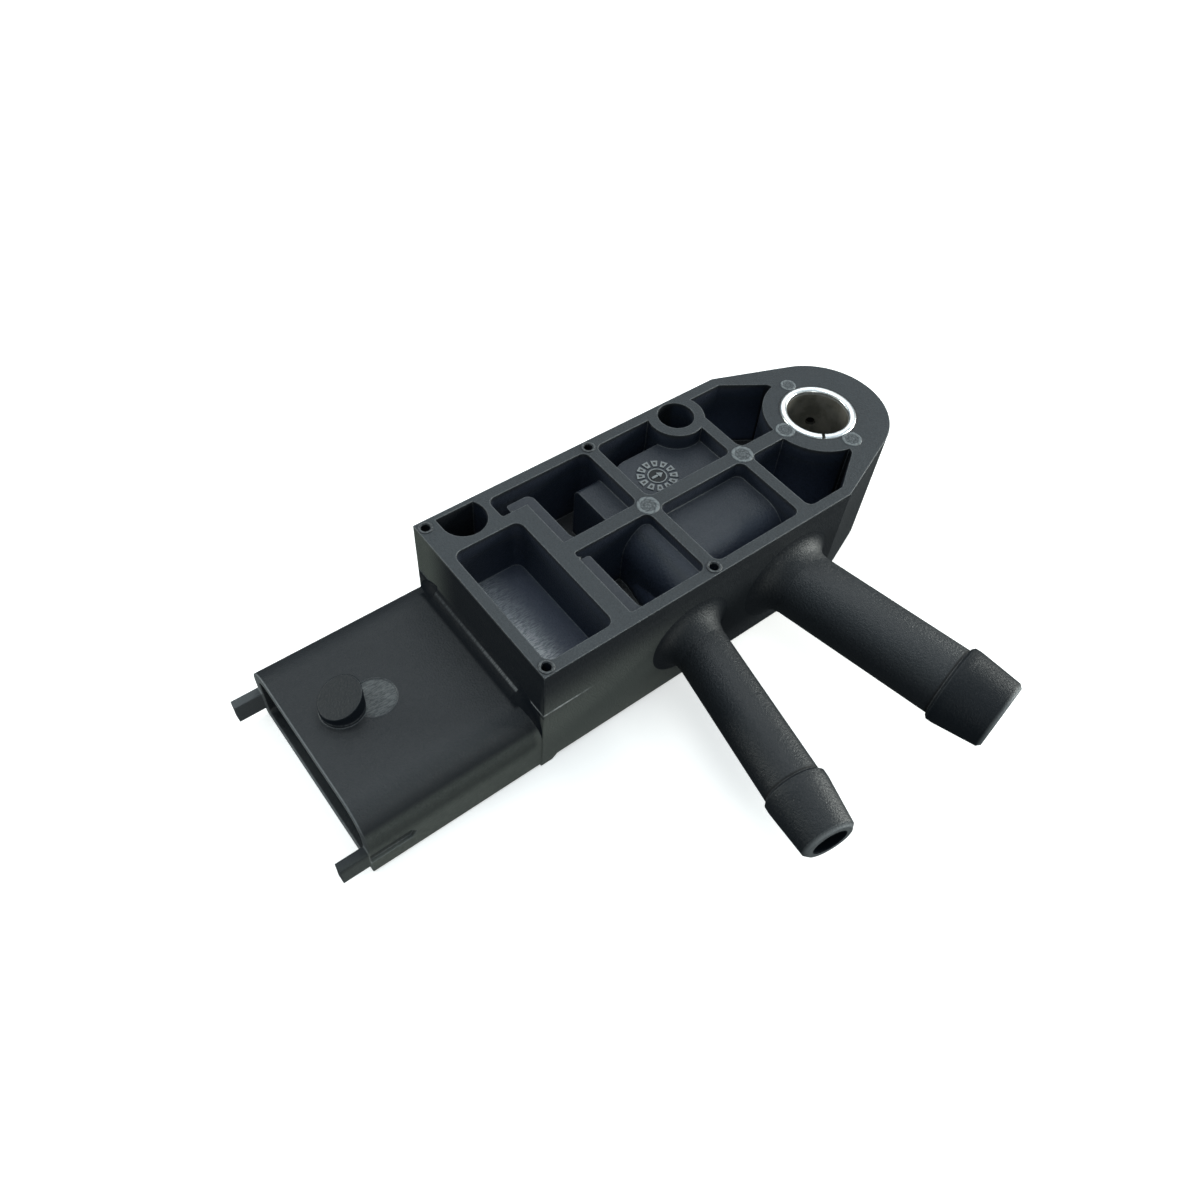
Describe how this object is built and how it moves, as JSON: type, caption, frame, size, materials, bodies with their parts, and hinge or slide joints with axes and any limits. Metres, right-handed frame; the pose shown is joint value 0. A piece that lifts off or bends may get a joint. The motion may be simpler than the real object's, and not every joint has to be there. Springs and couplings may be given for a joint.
{
  "type": "differential pressure sensor",
  "caption": "Flat ribbed plastic pressure sensor with splayed barbed hose nipples, a shrouded plug socket and a steel bush in its round nose.",
  "frame": {"origin": "axis of the fixing bush on the flat underside", "axes": "+X from the socket to the round nose along the body, +Y away from the hose nipples, +Z along the bush from the underside to the ribbed face"},
  "size_m": [0.0704, 0.0447, 0.0151],
  "materials": {
    "housing_plastic": "matte black glass-filled plastic with a fine grain",
    "bush_steel": "bright zinc-plated steel strip, rolled",
    "lid_plastic": "matte black plastic",
    "sealing_bead": "dark grey cured silicone",
    "terminal_metal": "tin-plated bronze strip, satin",
    "ceramic": "white fired alumina, satin",
    "cell_glass": "clear glass",
    "silicon": "polished grey silicon",
    "gel": "soft clear gel",
    "chip_plastic": "matte black moulding compound",
    "capacitor_ceramic": "tan ceramic block",
    "bond_wire": "drawn aluminium wire"
  },
  "bodies": {
    "root": {"housing": "housing_plastic", "small_nipple": "housing_plastic", "large_nipple": "housing_plastic", "mounting_bush": "bush_steel", "cover_lid": "lid_plastic", "lid_adhesive": "sealing_bead", "terminal_supply": "terminal_metal", "terminal_signal": "terminal_metal", "terminal_ground": "terminal_metal", "circuit_carrier": "ceramic", "carrier_adhesive": "sealing_bead", "cell_adhesive": "sealing_bead", "glass_pedestal": "cell_glass", "sensor_die": "silicon", "gel_frame": "lid_plastic", "protective_gel": "gel", "signal_chip": "chip_plastic", "capacitor_supply": "capacitor_ceramic", "capacitor_signal": "capacitor_ceramic", "capacitor_filter": "capacitor_ceramic", "bond_wire_supply": "bond_wire", "bond_wire_signal": "bond_wire", "bond_wire_ground": "bond_wire"}
  },
  "joints": []
}
